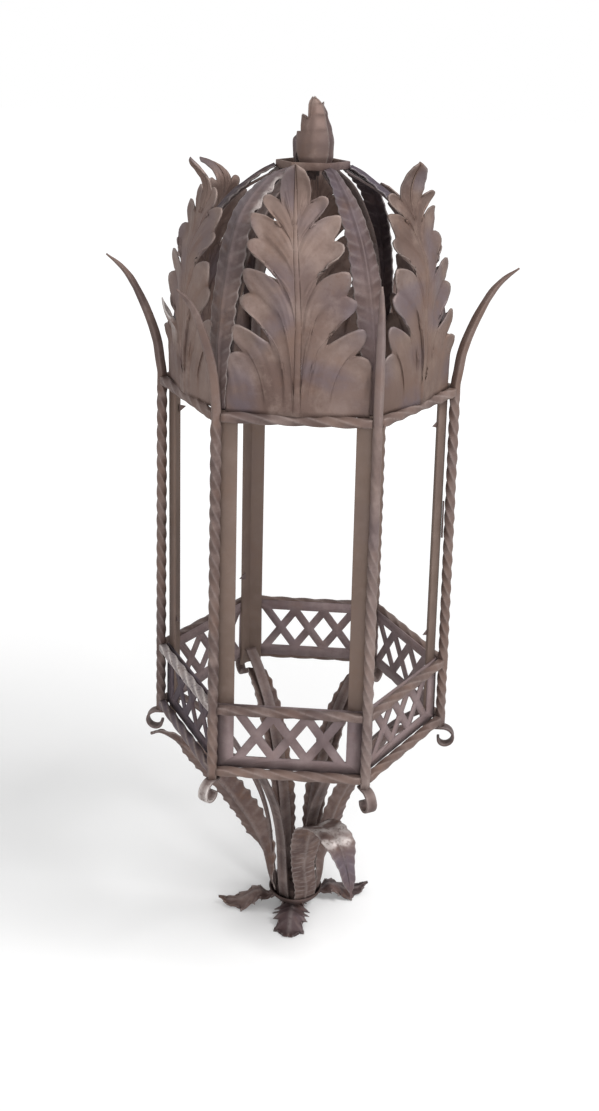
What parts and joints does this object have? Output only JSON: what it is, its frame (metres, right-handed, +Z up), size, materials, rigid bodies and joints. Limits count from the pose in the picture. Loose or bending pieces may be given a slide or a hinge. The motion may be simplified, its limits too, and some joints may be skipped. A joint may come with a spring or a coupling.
{
  "type": "wrought iron hanging lantern",
  "caption": "Hexagonal open lantern of forged iron: twisted posts with curved spikes, pierced gallery, acanthus leaf crown, strap dome and a drawn-in basket on leaf feet.",
  "frame": {"origin": "on the vertical axis of the lantern, at the level of the floor under the leaf feet", "axes": "+Z up the axis to the finial, -Y out of the front bay, +X towards the right-hand post"},
  "size_m": [0.4618, 0.3998, 1.0404],
  "materials": {
    "bar_iron": "forged square bar, aged warm grey-brown patina, ridges rubbed paler",
    "strap_iron": "forged flat bar, aged grey-brown patina",
    "angle_iron": "rolled angle, even warm grey-brown patina",
    "sheet_iron": "cut sheet, aged warm grey-brown patina",
    "leaf_iron": "hammered sheet, warm grey-brown patina with bluish tints",
    "rusty_leaf_iron": "hammered sheet, brown rust and worn pale patches",
    "fixing_steel": "dark oxidised fixings"
  },
  "bodies": {
    "root": {"basket_leaf_back_left": "rusty_leaf_iron", "basket_leaf_back_right": "rusty_leaf_iron", "basket_leaf_left": "rusty_leaf_iron", "basket_leaf_right": "rusty_leaf_iron", "basket_leaf_sprung": "rusty_leaf_iron", "basket_straps": "strap_iron", "collar_band": "strap_iron", "collar_plate": "strap_iron", "corner_post_back_left": "bar_iron", "corner_post_back_right": "bar_iron", "corner_post_front_left": "bar_iron", "corner_post_front_right": "bar_iron", "corner_post_left": "bar_iron", "corner_post_right": "bar_iron", "corner_scrolls": "strap_iron", "crown_bars": "bar_iron", "crown_leaf_back": "leaf_iron", "crown_leaf_back_left": "leaf_iron", "crown_leaf_back_right": "leaf_iron", "crown_leaf_front": "leaf_iron", "crown_leaf_front_left": "leaf_iron", "crown_leaf_front_right": "leaf_iron", "dome_rib_back_left": "leaf_iron", "dome_rib_back_right": "leaf_iron", "dome_rib_front_left": "leaf_iron", "dome_rib_front_right": "leaf_iron", "dome_rib_left": "leaf_iron", "dome_rib_right": "leaf_iron", "dome_straps": "strap_iron", "finial_leaf_front": "leaf_iron", "finial_leaf_left": "leaf_iron", "finial_leaf_right": "leaf_iron", "foot_leaf_back": "rusty_leaf_iron", "foot_leaf_front": "rusty_leaf_iron", "foot_leaf_left": "rusty_leaf_iron", "foot_leaf_right": "rusty_leaf_iron", "gallery_lower_bars": "bar_iron", "gallery_panel_back": "sheet_iron", "gallery_panel_back_left": "sheet_iron", "gallery_panel_back_right": "sheet_iron", "gallery_panel_front": "sheet_iron", "gallery_panel_front_left": "sheet_iron", "gallery_panel_front_right": "sheet_iron", "gallery_upper_bars": "bar_iron", "glass_angle_back_left": "angle_iron", "glass_angle_back_right": "angle_iron", "glass_angle_front_left": "angle_iron", "glass_angle_front_right": "angle_iron", "glass_angle_left": "angle_iron", "glass_angle_right": "angle_iron", "glass_clips": "angle_iron", "hanging_eye": "strap_iron", "hanging_nut": "fixing_steel", "hanging_washer": "fixing_steel", "hub_bolt": "fixing_steel", "hub_core": "strap_iron", "hub_cup": "strap_iron", "hub_nut": "fixing_steel", "hub_washer": "fixing_steel", "post_tab": "angle_iron"}
  },
  "joints": []
}
